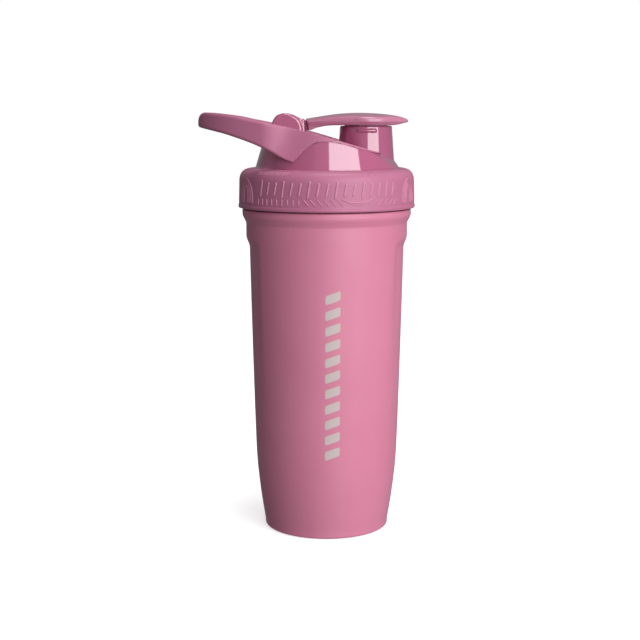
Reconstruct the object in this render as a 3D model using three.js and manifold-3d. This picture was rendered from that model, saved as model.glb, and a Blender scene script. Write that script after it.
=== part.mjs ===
// Protein shaker bottle: a steel cup with pressed grips, a screw-on lid with a carry loop,
// a drink spout under a hinged cap, a mouth gasket and a mixing strainer.
// Millimetres, +Z up. The cup stands on z = 0 round the Z axis, and the spout is on the +X side.

import * as THREE from 'three';
import { mergeVertices } from 'three/addons/utils/BufferGeometryUtils.js';
import Module from 'manifold-3d';

const wasm = await Module();
wasm.setup();

// ---------------------------------------------------------------- sizes

const gap = 0.3; // between two pieces that touch
const around = 60; // facets round a big turned piece
const aroundSpout = 48; // facets round the spout and its seal
const aroundSmall = 32; // facets round a small one

// cup
const cupWall = 0.8;
const cupFloor = 1.0;
const baseRadius = 35.6;
const baseFillet = 2.6;
const footHeight = 44.8; // where the foot's curve meets the straight side
const footKnee = 0.62; // height of the bend in the foot's curve, as a share of the foot
const sideBottomRadius = 40.65;
const sideTopRadius = 45.75;
const sideTopHeight = 169.3;
const shoulderHeight = 6.8; // straight band above the tapered side
const beadFlare = 4.6; // height of the flare out to the bead
const beadHeight = 3.4;
const beadStep = 2.1; // how far the bead stands out of the shoulder
const beadEdge = 0.6; // its rounded edges
const neckStep = 0.5; // how far the neck steps in from the shoulder
const neckLip = 1.2; // plain neck above the thread

// pressed grips on the two sides
const gripDepth = 1.55; // at the top of the grip
const gripDepthPower = 1.35; // how slowly the depth starts from the foot up
const gripTopDrop = 1.5; // below the top of the tapered side
const gripFootRise = 4; // from the foot's curve to where the grip has run out
const gripTopRound = 6; // height of the rounded top edge
const gripFootRound = 48; // height of the long foot, where the grip narrows
const gripHalfAngle = THREE.MathUtils.degToRad(36);
const gripEdgeAngle = THREE.MathUtils.degToRad(11);

// thread between the neck and the collar
const threadPitch = 6;
const threadTurns = 1.2;
const threadHeight = 1.6;
const threadBase = 2.4;
const threadCrest = 1.2;
const threadRadialPlay = 0.6;
const threadLead = 0.12; // turns over which each end of the ridge fades
const threadEnd = 0.25; // share of the ridge's height left at its very end
const threadRoot = 0.4; // how deep the ridge is rooted in its wall
const threadEntry = 0.5; // plain bore below the collar's ridge

// collar and the stack under its crown
const collarPlay = 0.7; // above the bead
const collarWall = 2.6;
const collarDraft = 0.6; // narrower at the top of the straight side
const crownThickness = 2.2;
const crownWidth = 8.7;
const crownRound = 7;
const collarLip = 1.7; // height of the bottom lip
const collarLipStep = 0.3;
const collarEdge = 0.5; // bevel of its bottom edge
const crownBend = 0.3; // how far the rounded crown leans in
const strainerFlange = 1.1;
const gasketThickness = 1.6;
const gasketWidth = 4.4;
const gasketOverhang = 0.8; // outside the neck
const gasketEdge = 0.4;
const domeFlange = 1.7;
const domeFlangePlay = 0.7; // to the collar's bore

// strainer
const strainerWall = 1.2;
const strainerDrop = 8.5;
const strainerPlay = 0.8; // to the inside of the neck
const strainerOverhang = 0.1; // of its flange, outside the neck
const strainerCorner = 2;
const strainerHoleRadius = 2.2;
const strainerHoleSpacing = 7.4;
const strainerRings = 4;

// dome
const domeWall = 2.0;
const domeLean = 0.3; // inward per mm of height
const rimWidth = 2.6;
const rimDrop = 6.3; // the rim at the bottle's axis, below the spout's rim
const rimSlope = Math.tan(THREE.MathUtils.degToRad(16.3));
const rimRound = 10; // length of the rounding at the low end
const rimBendInset = 2.6; // bend of that rounding, from the foot of the dome
const rimBendHeight = 5.7; // the same bend above the crown
const domeRoom = 34; // a height over the crown that clears the dome's rim
const deckDrop = 5.5; // the deck under the hinge axis
const deckSlope = Math.tan(THREE.MathUtils.degToRad(13));
const capNotch = 1.2; // height left of the rim behind the hinge
const notchPlay = 1.6; // beside each ear
const cutThrough = 5; // how far a cut starts below the crown

// spout
const spoutFoot = 4.6; // from the spout to the foot of the dome
const spoutRadius = 14.6;
const spoutWall = 2.0;
const spoutHeight = 23.5;
const spoutLean = 0.07; // outward per mm downward
const ribWidth = 10;
const ribHeight = 1.7;
const ribDrop = 1.7; // from the spout's rim to the top of the rib
const ribDepth = 1.1;
const ribBevel = 0.6;

// hinge
const hingeInset = 20.4; // its axis from the foot of the dome
const hingeDrop = 1.6; // its axis below the spout's rim
const earRadius = 9.05;
const earReach = 10.1; // the corner of the ear that faces the cap
const earThickness = 5.2;
const earRampAngle = THREE.MathUtils.degToRad(60); // where the ramp to that corner leaves the round
const earSkin = 1.2; // outside the blind end of the pin's hole
const knuckleRadius = 4.8;
const knuckleWidth = 10.6;
const knucklePlay = 0.4; // to each ear
const pinRadius = 1.5;

// flip cap
const capRim = 3.7; // the disc's edge outside the spout
const capRise = 7; // the crest above the underside
const capBackRise = 5.2; // the arm's top above the hinge axis
const capArmHalf = 10.5;
const capArmPlay = 0.5; // between the arm's end and the ears
const capArch = 2.5; // how far the arm's foot hangs below the cap's underside
const capArchLength = 9; // from that foot's curve to the spout
const capHeel = 2.5; // length of the bevel at the arm's hinge end
const capHeelDrop = 0.9; // that end below the hinge axis
const tabLength = 5.4; // tip of the thumb tab beyond the disc
const tabRadius = 6.5;
const tabRootAngle = THREE.MathUtils.degToRad(56); // where the tab leaves the disc
const tabShoulder = 0.6; // share of the tab's radius over which its corners round
const tabCorner = 0.7; // how full those corners are
const tabFoot = 3.2; // length of the bevel under the tip
const tabFootRise = 0.6;
const tabTipRise = 2.6; // tip above the cap's underside
const studRadius = 3;
const studHeight = 3.4;
const sealHeadroom = 0.9; // over the seal's flange
const tongueDrop = 2.6; // the tongue's foot below the hinge axis
const tongueOverlap = 3; // how far the tongue reaches into the arm
const tongueBevel = 0.4;

// cap seal
const sealPlay = 0.5; // to the spout's bore
const sealFlange = 1.6;
const sealDepth = 4.2; // plug below its flange
const sealHollowRadius = 8.5;
const sealHollowDepth = 2.2;
const sealBevel = 0.8;
const sealInset = 0.5; // of its flange inside the spout's outer edge

// carry loop
const loopReach = 31.4; // tip from the foot of the dome
const loopWidth = 5.5;
const loopInset = 2.8; // the widest point inside the foot of the dome
const loopTipRise = 7.2; // the tip's top above the spout's rim
const loopTipHeight = 9.5;
const loopBend = 11; // where the top line leaves the rim's slope, from the foot of the dome
const loopFootBack = 18.5; // lowest point of the arm behind the axis
const loopFootHeight = 4.4;
const loopEnd = 1; // front end of the arms ahead of the axis
const loopEndHeight = 1.5;
const loopTipLevel = 3; // length of the level part under the tip
const loopTipStep = 0.3; // rise over that length
const loopUnderRise = 15; // bend of the arm's underside, above the crown
const loopFootTurn = 7.5; // ahead of the lowest point, where the underside turns up
const loopTipRound = 4;

// ---------------------------------------------------------------- sizes that follow from the others

const beadBottom = sideTopHeight + shoulderHeight + beadFlare;
const beadTop = beadBottom + beadHeight;
const beadRadius = sideTopRadius + beadStep;
const neckRadius = sideTopRadius - neckStep;
const gripTop = sideTopHeight - gripTopDrop;
const gripFade = footHeight + gripFootRise;
const collarBottom = beadTop + collarPlay;
const collarThreadStart = collarBottom + threadEntry + threadBase / 2;
const neckThreadStart = collarThreadStart + threadPitch / 2;
const rimHeight = neckThreadStart + threadTurns * threadPitch + threadBase / 2 + neckLip;
const strainerSeat = rimHeight + gap;
const gasketSeat = strainerSeat + strainerFlange + gap;
const domeSeat = gasketSeat + gasketThickness + gap;
const crownUnder = domeSeat + domeFlange + gap;
const crown = crownUnder + crownThickness;
const collarBore = neckRadius + threadHeight + threadRadialPlay;
const collarRadius = collarBore + collarWall;
const domeRadius = collarRadius - crownWidth;
const spoutX = domeRadius - spoutFoot - spoutRadius;
const spoutRim = crown + spoutHeight;
const hingeX = hingeInset - domeRadius;
const hingeZ = spoutRim - hingeDrop;
const earInside = knuckleWidth / 2 + knucklePlay;
const rimMid = spoutHeight - rimDrop;
const deckMid = hingeZ - crown - deckDrop + deckSlope * hingeX;
const capUnder = spoutRim + gap;
const capDiscRadius = spoutRadius + capRim;
const tabTip = spoutX + capDiscRadius + tabLength;
const pinHalf = earInside + earThickness - earSkin - gap;
const capBackReach = Math.sqrt(earReach ** 2 - capBackRise ** 2);
const loopTip = -(domeRadius + loopReach);
const loopTipTop = spoutHeight + loopTipRise;
const loopHalf = domeRadius - loopInset;

// ---------------------------------------------------------------- solids

/** A closed solid from a three.js geometry. */
function solidOf(geometry) {
  const bare = geometry.clone();
  bare.deleteAttribute('normal');
  bare.deleteAttribute('uv');
  const merged = mergeVertices(bare, 1e-5);
  const index = merged.index.array;
  const corners = [];
  for (let i = 0; i < index.length; i += 3) {
    const [a, b, c] = [index[i], index[i + 1], index[i + 2]];
    if (a !== b && b !== c && c !== a) corners.push(a, b, c);
  }
  const vertProperties = new Float32Array(merged.attributes.position.array);
  const triVerts = new Uint32Array(corners);
  return new wasm.Manifold(new wasm.Mesh({ numProp: 3, vertProperties, triVerts }));
}

/** A solid turned round the Z axis from a profile of [radius, height] points. */
function turned(profile, segments = around) {
  const points = profile.map(([r, z]) => new THREE.Vector2(r, z));
  return solidOf(new THREE.LatheGeometry(points, segments).rotateX(Math.PI / 2));
}

/** A ring turned from a closed profile. */
function turnedRing(profile, segments = around) {
  return turned([...profile, profile[0]], segments);
}

/** A cylinder along Z. */
function post(radius, bottom, top, x = 0, y = 0, segments = aroundSmall) {
  const body = new THREE.CylinderGeometry(radius, radius, top - bottom, segments);
  return solidOf(body.rotateX(Math.PI / 2).translate(x, y, (bottom + top) / 2));
}

/** A cylinder along Y, from y = from to y = to. */
function rod(radius, x, z, from, to, segments = aroundSmall) {
  const body = new THREE.CylinderGeometry(radius, radius, to - from, segments);
  return solidOf(body.translate(x, (from + to) / 2, z));
}

/** A shape drawn in the XZ plane and extruded from y = from to y = to. */
function sideCut(shape, from, to, curveSegments = 16) {
  const options = { depth: to - from, bevelEnabled: false, curveSegments };
  const body = new THREE.ExtrudeGeometry(shape, options);
  return solidOf(body.rotateX(Math.PI / 2).translate(0, to, 0));
}

/** A shape drawn in the XY plane and extruded from z = from to z = to. */
function planCut(shape, from, to, curveSegments = 48) {
  const options = { depth: to - from, bevelEnabled: false, curveSegments };
  return solidOf(new THREE.ExtrudeGeometry(shape, options).translate(0, 0, from));
}

/** A helical ridge: it stands out of a wall of the given radius, outward (+1) or inward (-1). */
function threadRidge(wallRadius, side, startHeight) {
  const section = new THREE.Shape();
  section.moveTo(-threadRoot, -threadBase / 2);
  section.lineTo(0, -threadBase / 2);
  section.lineTo(threadHeight, -threadCrest / 2);
  section.lineTo(threadHeight, threadCrest / 2);
  section.lineTo(0, threadBase / 2);
  section.lineTo(-threadRoot, threadBase / 2);
  section.closePath();
  const steps = Math.ceil(threadTurns * aroundSmall);
  const ridge = new THREE.ExtrudeGeometry(section, { depth: threadTurns, steps, bevelEnabled: false });
  const position = ridge.attributes.position;
  for (let i = 0; i < position.count; i += 1) {
    const turn = position.getZ(i);
    const nearEnd = Math.min(turn, threadTurns - turn) / threadLead;
    const fade = THREE.MathUtils.lerp(threadEnd, 1, THREE.MathUtils.clamp(nearEnd, 0, 1));
    const out = position.getX(i);
    const radius = wallRadius + side * (out > 0 ? out * fade : out);
    const angle = turn * 2 * Math.PI;
    const height = startHeight - side * position.getY(i) + turn * threadPitch;
    position.setXYZ(i, radius * Math.cos(angle), radius * Math.sin(angle), height);
  }
  return solidOf(ridge);
}

/** The smooth step from 0 to 1 as t goes from 0 to 1. */
function easeIn(t) {
  return THREE.MathUtils.smoothstep(t, 0, 1);
}

// ---------------------------------------------------------------- cup

/** The radius of the tapered side at a height. */
function sideRadius(z) {
  const t = (z - footHeight) / (sideTopHeight - footHeight);
  return THREE.MathUtils.lerp(sideBottomRadius, sideTopRadius, t);
}

/** How far the grip is pressed in, at an angle from +X and a height. */
function gripPress(angle, z) {
  const fromSide = Math.min(Math.abs(angle), Math.PI - Math.abs(angle));
  const below = Math.max(0, gripFade + gripFootRound - z) / gripFootRound;
  const halfAngle = gripHalfAngle * Math.sqrt(Math.max(0, 1 - below ** 2));
  const depth = gripDepth * (Math.max(0, z - gripFade) / (gripTop - gripFade)) ** gripDepthPower;
  return depth * easeIn((halfAngle - fromSide) / gripEdgeAngle) * easeIn((gripTop - z) / gripTopRound);
}

/** The outside of the cup from the edge of its base to the top of its side. */
function cupSide() {
  const points = [];
  const baseCorner = baseRadius - baseFillet;
  for (let i = 0; i <= 4; i += 1) {
    const a = ((i / 4 - 1) * Math.PI) / 2;
    points.push([baseCorner + baseFillet * Math.cos(a), baseFillet + baseFillet * Math.sin(a)]);
  }
  const sideLean = (sideTopRadius - sideBottomRadius) / (sideTopHeight - footHeight);
  const kneeHeight = footHeight * footKnee;
  const foot = new THREE.QuadraticBezierCurve(
    new THREE.Vector2(baseRadius, baseFillet),
    new THREE.Vector2(sideBottomRadius - sideLean * (footHeight - kneeHeight), kneeHeight),
    new THREE.Vector2(sideBottomRadius, footHeight),
  );
  for (const p of foot.getPoints(5).slice(1)) points.push([p.x, p.y]);
  const rows = 8;
  for (let i = 1; i <= rows; i += 1) {
    const z = THREE.MathUtils.lerp(footHeight, gripTop - gripTopRound, i / rows);
    points.push([sideRadius(z), z]);
  }
  for (const t of [0.3, 0.5, 0.7, 1]) {
    const z = gripTop - gripTopRound * (1 - t);
    points.push([sideRadius(z), z]);
  }
  points.push([sideTopRadius, sideTopHeight]);
  return points;
}

/** The steel cup: pressed grips, a rolled bead under the lid, a threaded neck. */
function bottleBody() {
  const side = cupSide();
  const outside = [
    ...side,
    [sideTopRadius, beadBottom - beadFlare],
    [beadRadius - beadEdge, beadBottom - beadEdge],
    [beadRadius, beadBottom + beadEdge],
    [beadRadius, beadTop - beadEdge],
    [beadRadius - beadEdge, beadTop],
    [neckRadius, beadTop],
    [neckRadius, rimHeight],
  ];
  const inside = [[neckRadius - cupWall, rimHeight], [neckRadius - cupWall, beadBottom]];
  for (const [r, z] of [...side].reverse()) {
    if (z > cupFloor + baseFillet) inside.push([r - cupWall, z]);
  }
  const floorRadius = baseRadius - cupWall - baseFillet;
  inside.push([baseRadius - cupWall, cupFloor + baseFillet]);
  inside.push([floorRadius + baseFillet * Math.SQRT1_2, cupFloor + baseFillet * (1 - Math.SQRT1_2)]);
  inside.push([floorRadius, cupFloor]);
  const points = [[0, 0], ...outside, ...inside, [0, cupFloor]].map(([r, z]) => new THREE.Vector2(r, z));
  const shell = new THREE.LatheGeometry(points, around).rotateX(Math.PI / 2);
  const position = shell.attributes.position;
  for (let i = 0; i < position.count; i += 1) {
    const [x, y, z] = [position.getX(i), position.getY(i), position.getZ(i)];
    const radius = Math.hypot(x, y);
    if (z > gripFade && z < gripTop) {
      const pressed = 1 - gripPress(Math.atan2(y, x), z) / radius;
      position.setXY(i, x * pressed, y * pressed);
    }
  }
  return solidOf(shell).add(threadRidge(neckRadius, 1, neckThreadStart));
}

// ---------------------------------------------------------------- collar and what it clamps

/** The matt ring that screws onto the neck. */
function lidCollar() {
  const shoulder = crown - crownRound;
  const top = collarRadius - collarDraft;
  const corner = new THREE.QuadraticBezierCurve(
    new THREE.Vector2(top, shoulder),
    new THREE.Vector2(top - crownBend, crown),
    new THREE.Vector2(domeRadius + gap, crown),
  );
  const profile = [
    [collarBore, collarBottom],
    [collarRadius - collarEdge, collarBottom],
    [collarRadius, collarBottom + collarEdge],
    [collarRadius, collarBottom + collarLip],
    [collarRadius - collarLipStep, collarBottom + collarLip + collarLipStep],
    ...corner.getPoints(6).map((p) => [p.x, p.y]),
    [domeRadius + gap, crownUnder],
    [collarBore, crownUnder],
  ];
  return turnedRing(profile).add(threadRidge(collarBore, -1, collarThreadStart));
}

/** The silicone ring between the strainer's flange and the dome's. */
function lidGasket() {
  const outer = neckRadius + gasketOverhang;
  const inner = outer - gasketWidth;
  const top = gasketSeat + gasketThickness;
  const middle = (gasketSeat + top) / 2;
  return turnedRing([
    [inner + gasketEdge, gasketSeat],
    [outer - gasketEdge, gasketSeat],
    [outer, middle],
    [outer - gasketEdge, top],
    [inner + gasketEdge, top],
    [inner, middle],
  ]);
}

/** The shallow basket that hangs in the mouth, with round holes in its floor. */
function strainer() {
  const flangeRadius = neckRadius + strainerOverhang;
  const outer = neckRadius - cupWall - strainerPlay;
  const inner = outer - strainerWall;
  const top = strainerSeat + strainerFlange;
  const floor = strainerSeat - strainerDrop;
  const innerCorner = strainerCorner * Math.SQRT1_2;
  const basket = turned([
    [0, floor],
    [outer - strainerCorner, floor],
    [outer, floor + strainerCorner],
    [outer, strainerSeat],
    [flangeRadius, strainerSeat],
    [flangeRadius, top],
    [inner, top],
    [inner, floor + strainerWall + innerCorner],
    [inner - innerCorner, floor + strainerWall],
    [0, floor + strainerWall],
  ]);
  let solid = basket;
  for (let ring = 0; ring <= strainerRings; ring += 1) {
    const count = Math.max(1, 6 * ring);
    for (let i = 0; i < count; i += 1) {
      const a = (i / count) * 2 * Math.PI;
      const [x, y] = [ring * strainerHoleSpacing * Math.cos(a), ring * strainerHoleSpacing * Math.sin(a)];
      solid = solid.subtract(post(strainerHoleRadius, floor - 1, floor + 2 * strainerWall, x, y, 6));
    }
  }
  return solid;
}

// ---------------------------------------------------------------- dome, spout and hinge

/** Everything inside the dome's wall, upright below the crown and leaning above it, grown by an offset. */
function domeCone(offset, bottom, top) {
  return turned([
    [0, bottom],
    [domeRadius + offset, bottom],
    [domeRadius + offset, crown],
    [domeRadius + offset - domeLean * (top - crown), top],
    [0, top],
  ]);
}

/** The height of the line along the dome's rim and the loop's arms. */
function rimLine(x) {
  return crown + rimMid - rimSlope * x;
}

/** The height of the sunken deck. */
function deckLine(x) {
  return crown + deckMid - deckSlope * x;
}

const farOut = 120; // beyond every piece of the lid

/** Everything under the rim's line, rounded down at the low end. */
function underRim() {
  const roundFrom = domeRadius - rimRound;
  const shape = new THREE.Shape();
  shape.moveTo(-domeRadius, domeSeat);
  shape.lineTo(domeRadius, domeSeat);
  shape.lineTo(domeRadius, crown);
  shape.quadraticCurveTo(domeRadius - rimBendInset, crown + rimBendHeight, roundFrom, rimLine(roundFrom));
  shape.lineTo(-domeRadius, rimLine(-domeRadius));
  shape.closePath();
  return sideCut(shape, -domeRadius, domeRadius, 6);
}

/** Everything above the deck, raised by an offset. */
function aboveDeck(offset) {
  const shape = new THREE.Shape();
  shape.moveTo(-farOut, deckLine(-farOut) + offset);
  shape.lineTo(farOut, deckLine(farOut) + offset);
  shape.lineTo(farOut, crown + farOut);
  shape.lineTo(-farOut, crown + farOut);
  shape.closePath();
  return sideCut(shape, -farOut, farOut);
}

/** The spout's cone, moved outward by an offset. */
function spoutCone(offset, bottom, top) {
  const bottomRadius = spoutRadius + offset + spoutLean * (spoutRim - bottom);
  const topRadius = spoutRadius + offset + spoutLean * (spoutRim - top);
  return turned([[0, bottom], [bottomRadius, bottom], [topRadius, top], [0, top]], aroundSpout)
    .translate([spoutX, 0, 0]);
}

/** The glossy shell: a leaning wall whose rim slopes down to the spout, and a sunken deck. */
function lidDome() {
  const high = crown + domeRoom;
  const low = crown - cutThrough;
  const flangeOuter = collarBore - domeFlangePlay;
  const flange = turned([
    [0, domeSeat],
    [flangeOuter, domeSeat],
    [flangeOuter, domeSeat + domeFlange],
    [0, domeSeat + domeFlange],
  ]);
  const wall = domeCone(0, domeSeat, high).intersect(underRim()).add(flange);
  const scoop = domeCone(-rimWidth, low, high)
    .add(spoutCone(gap, low, spoutRim))
    .intersect(aboveDeck(0));
  const notchShape = new THREE.Shape();
  notchShape.moveTo(-domeRadius, deckLine(-domeRadius) + capNotch);
  notchShape.lineTo(hingeX, deckLine(hingeX) + capNotch);
  notchShape.lineTo(hingeX, high);
  notchShape.lineTo(-domeRadius, high);
  notchShape.closePath();
  const notchHalf = earInside + earThickness + notchPlay;
  const notch = sideCut(notchShape, -notchHalf, notchHalf);
  const inside = domeCone(-domeWall, domeSeat - 1, high).subtract(aboveDeck(-domeWall));
  const bore = spoutCone(-spoutWall, domeSeat, spoutRim);
  return wall.subtract(scoop).subtract(notch).subtract(inside).subtract(bore);
}

/** The drinking spout, standing on the deck, with a short rib front and back. */
function drinkSpout() {
  const tube = spoutCone(0, crown - 2, spoutRim).subtract(spoutCone(-spoutWall, crown - 3, spoutRim + 1));
  const ribTop = spoutRim - ribDrop;
  const ribShape = new THREE.Shape();
  ribShape.moveTo(-ribWidth / 2, 0);
  ribShape.lineTo(ribWidth / 2, 0);
  ribShape.lineTo(ribWidth / 2 - ribBevel, ribHeight);
  ribShape.lineTo(ribBevel - ribWidth / 2, ribHeight);
  ribShape.closePath();
  const reach = spoutRadius + ribDepth;
  const ribs = sideCut(ribShape, -reach, reach).translate([spoutX, 0, ribTop - ribHeight])
    .subtract(spoutCone(-spoutWall / 3, crown, spoutRim));
  return tube.add(ribs).intersect(aboveDeck(gap));
}

/** One ear of the hinge, from its inner face outward; side is -1 at the front and +1 at the back. */
function hingeEar(side) {
  const [cornerX, cornerZ] = [capBackReach, capBackRise];
  const shape = new THREE.Shape();
  shape.moveTo(-earRadius, -farOut / 4);
  shape.lineTo(cornerX, -farOut / 4);
  shape.lineTo(cornerX, cornerZ);
  shape.lineTo(earRadius * Math.cos(earRampAngle), earRadius * Math.sin(earRampAngle));
  shape.absarc(0, 0, earRadius, earRampAngle, Math.PI, false);
  shape.closePath();
  const from = side > 0 ? earInside : -earInside - earThickness;
  const blind = pinHalf + gap;
  return sideCut(shape, from, from + earThickness)
    .translate([hingeX, 0, hingeZ])
    .intersect(aboveDeck(gap))
    .subtract(rod(pinRadius + gap, hingeX, hingeZ, -blind, blind, 20));
}

/** The steel pin, closed in by the two ears. */
function hingePin() {
  return rod(pinRadius, hingeX, hingeZ, -pinHalf, pinHalf, 20);
}

// ---------------------------------------------------------------- cap

/** The cap seen from above: a disc, an arm back to the hinge and a thumb tab. */
function capPlan() {
  const bottom = capUnder - capArch - 1;
  const top = capUnder + capRise + 1;
  const disc = post(capDiscRadius, bottom, top, spoutX, 0, 60);
  const arm = new THREE.Shape();
  arm.moveTo(hingeX, -capArmHalf);
  arm.lineTo(spoutX, -capDiscRadius);
  arm.lineTo(spoutX, capDiscRadius);
  arm.lineTo(hingeX, capArmHalf);
  arm.closePath();
  const rootX = spoutX + capDiscRadius * Math.cos(tabRootAngle);
  const rootY = capDiscRadius * Math.sin(tabRootAngle);
  const shoulderX = tabTip - tabRadius * tabShoulder;
  const cornerY = tabRadius * tabCorner;
  const tab = new THREE.Shape();
  tab.moveTo(rootX, -rootY);
  tab.lineTo(shoulderX, -tabRadius);
  tab.quadraticCurveTo(tabTip, -cornerY, tabTip, 0);
  tab.quadraticCurveTo(tabTip, cornerY, shoulderX, tabRadius);
  tab.lineTo(rootX, rootY);
  tab.closePath();
  return disc.add(planCut(arm, bottom, top)).add(planCut(tab, bottom, top, 8));
}

/** The cap seen from the side: arched over the deck, domed on top, thin at the tab. */
function capSide() {
  const armX = hingeX + capBackReach;
  const armTop = hingeZ + capBackRise;
  const tipTop = capUnder + tabTipRise;
  const crest = capUnder + capRise;
  const shape = new THREE.Shape();
  const archEnd = spoutX - spoutRadius;
  shape.moveTo(armX, hingeZ - capHeelDrop);
  shape.lineTo(armX + capHeel, capUnder - capArch);
  shape.quadraticCurveTo(archEnd - capArchLength, capUnder, archEnd, capUnder);
  shape.lineTo(tabTip - tabFoot, capUnder + tabFootRise);
  shape.lineTo(tabTip, tipTop);
  shape.quadraticCurveTo((tabTip + armX) / 2, 2 * crest - (armTop + tipTop) / 2, armX, armTop);
  shape.closePath();
  return sideCut(shape, -farOut / 2, farOut / 2, 20);
}

/** The satin cap: arm, disc and tab, a knuckle between the ears and a stud for the seal. */
function flipCap() {
  const sealRoom = sealFlange + sealHeadroom;
  const tongueEnd = earReach + tongueOverlap;
  const body = capPlan().intersect(capSide())
    .subtract(rod(earReach + capArmPlay, hingeX, hingeZ, -farOut / 2, farOut / 2, 72))
    .subtract(post(spoutRadius - gap / 2, capUnder - 1, capUnder + sealRoom, spoutX));
  const half = knuckleWidth / 2;
  const tongue = new THREE.Shape();
  tongue.moveTo(0, -tongueDrop);
  tongue.lineTo(tongueEnd, -tongueBevel);
  tongue.lineTo(tongueEnd, capBackRise - tongueBevel);
  tongue.lineTo(0, knuckleRadius - tongueBevel / 2);
  tongue.closePath();
  const stud = post(studRadius, capUnder + sealRoom - studHeight, capUnder + sealRoom + 1, spoutX);
  return body
    .add(sideCut(tongue, -half, half).translate([hingeX, 0, hingeZ]))
    .add(rod(knuckleRadius, hingeX, hingeZ, -half, half, 32))
    .add(stud)
    .subtract(rod(pinRadius + gap, hingeX, hingeZ, -half - 1, half + 1, 20));
}

/** The silicone plug on the cap's stud: a flange over the spout's rim and a plug in its bore. */
function capSeal() {
  const plugRadius = spoutRadius - spoutWall - sealPlay;
  const flangeRadius = spoutRadius - sealInset;
  const flangeTop = capUnder + gap + sealFlange;
  const plugFoot = capUnder - sealDepth;
  const body = turned([
    [0, plugFoot + sealHollowDepth],
    [sealHollowRadius, plugFoot + sealHollowDepth],
    [sealHollowRadius, plugFoot],
    [plugRadius - sealBevel, plugFoot],
    [plugRadius, plugFoot + sealBevel],
    [plugRadius, capUnder + gap],
    [flangeRadius, capUnder + gap],
    [flangeRadius, flangeTop],
    [0, flangeTop],
  ], aroundSpout).translate([spoutX, 0, 0]);
  const studFoot = capUnder + sealFlange + sealHeadroom - studHeight;
  return body.subtract(post(studRadius + gap, studFoot - gap, flangeTop + 1, spoutX));
}

// ---------------------------------------------------------------- carry loop

/** Half an ellipse to the left and half to the right of the bottle's axis, as one outline. */
function loopOutline(left, right, half) {
  const shape = new THREE.Shape();
  shape.absellipse(0, 0, left, half, Math.PI / 2, (3 * Math.PI) / 2, false);
  shape.absellipse(0, 0, right, half, (3 * Math.PI) / 2, (5 * Math.PI) / 2, false);
  return shape;
}

/** The loop seen from the side: level at its tip, then down the rim's slope, with a curved foot. */
function loopSide() {
  const tipTop = crown + loopTipTop;
  const bendX = loopBend - domeRadius;
  const levelX = (crown + rimMid - tipTop) / rimSlope;
  const foot = [-loopFootBack, crown + loopFootHeight];
  const endTop = rimLine(loopEnd);
  const shape = new THREE.Shape();
  const tipFoot = tipTop - loopTipHeight;
  const turnX = loopFootTurn - loopFootBack;
  shape.moveTo(loopTip, tipFoot);
  shape.lineTo(loopTip + loopTipLevel, tipFoot + loopTipStep);
  shape.quadraticCurveTo(-domeRadius, crown + loopUnderRise, ...foot);
  shape.quadraticCurveTo(turnX, endTop - loopEndHeight, loopEnd, endTop - loopEndHeight);
  shape.lineTo(loopEnd, endTop);
  shape.lineTo(bendX, rimLine(bendX));
  shape.quadraticCurveTo(levelX, tipTop, loopTip + loopTipRound, tipTop);
  shape.quadraticCurveTo(loopTip, tipTop, loopTip, tipTop - loopTipRound);
  shape.closePath();
  return sideCut(shape, -loopHalf - 5, loopHalf + 5, 12);
}

/** The carry loop: one band behind the bottle, its two arms laid along the dome's wall. */
function carryLoop() {
  const [low, high] = [crown, crown + loopTipTop + 2];
  const outside = planCut(loopOutline(-loopTip, domeRadius, loopHalf), low, high, 40);
  const hole = loopOutline(-loopTip - loopWidth, domeRadius, loopHalf - loopWidth);
  const inside = planCut(hole, low - 1, high + 1, 40);
  return outside
    .subtract(inside)
    .intersect(loopSide())
    .subtract(domeCone(gap, low - 2, high + 2));
}

// ---------------------------------------------------------------- finishes

function finish(color, roughness, metalness = 0) {
  return new THREE.MeshStandardMaterial({ color, roughness, metalness });
}

const powderCoat = finish('#c8789a', 0.55);
const mattPlastic = finish('#c97ca0', 0.6);
const satinPlastic = finish('#cd83a6', 0.4);
const glossPlastic = finish('#bf6a90', 0.15);
const silicone = finish('#d9d6d2', 0.8);
const steel = finish('#b9bcc0', 0.3, 1);

// ---------------------------------------------------------------- the assembly

const bottle = new THREE.Group();

/** Adds a named piece to the bottle. */
function place(name, solid, material) {
  const { vertProperties, triVerts } = solid.getMesh();
  const geometry = new THREE.BufferGeometry();
  geometry.setAttribute('position', new THREE.BufferAttribute(vertProperties, 3));
  geometry.setIndex(new THREE.BufferAttribute(triVerts, 1));
  geometry.computeVertexNormals();
  const mesh = new THREE.Mesh(geometry, material);
  mesh.name = name;
  bottle.add(mesh);
}

place('bottle_body', bottleBody(), powderCoat);
place('strainer', strainer(), glossPlastic);
place('lid_gasket', lidGasket(), silicone);
place('lid_collar', lidCollar(), mattPlastic);
place('lid_dome', lidDome(), glossPlastic);
place('drink_spout', drinkSpout(), glossPlastic);
place('hinge_ear_front', hingeEar(-1), glossPlastic);
place('hinge_ear_back', hingeEar(1), glossPlastic);
place('hinge_pin', hingePin(), steel);
place('carry_loop', carryLoop(), mattPlastic);
place('flip_cap', flipCap(), satinPlastic);
place('cap_seal', capSeal(), silicone);

export default bottle;
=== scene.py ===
import math

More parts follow.
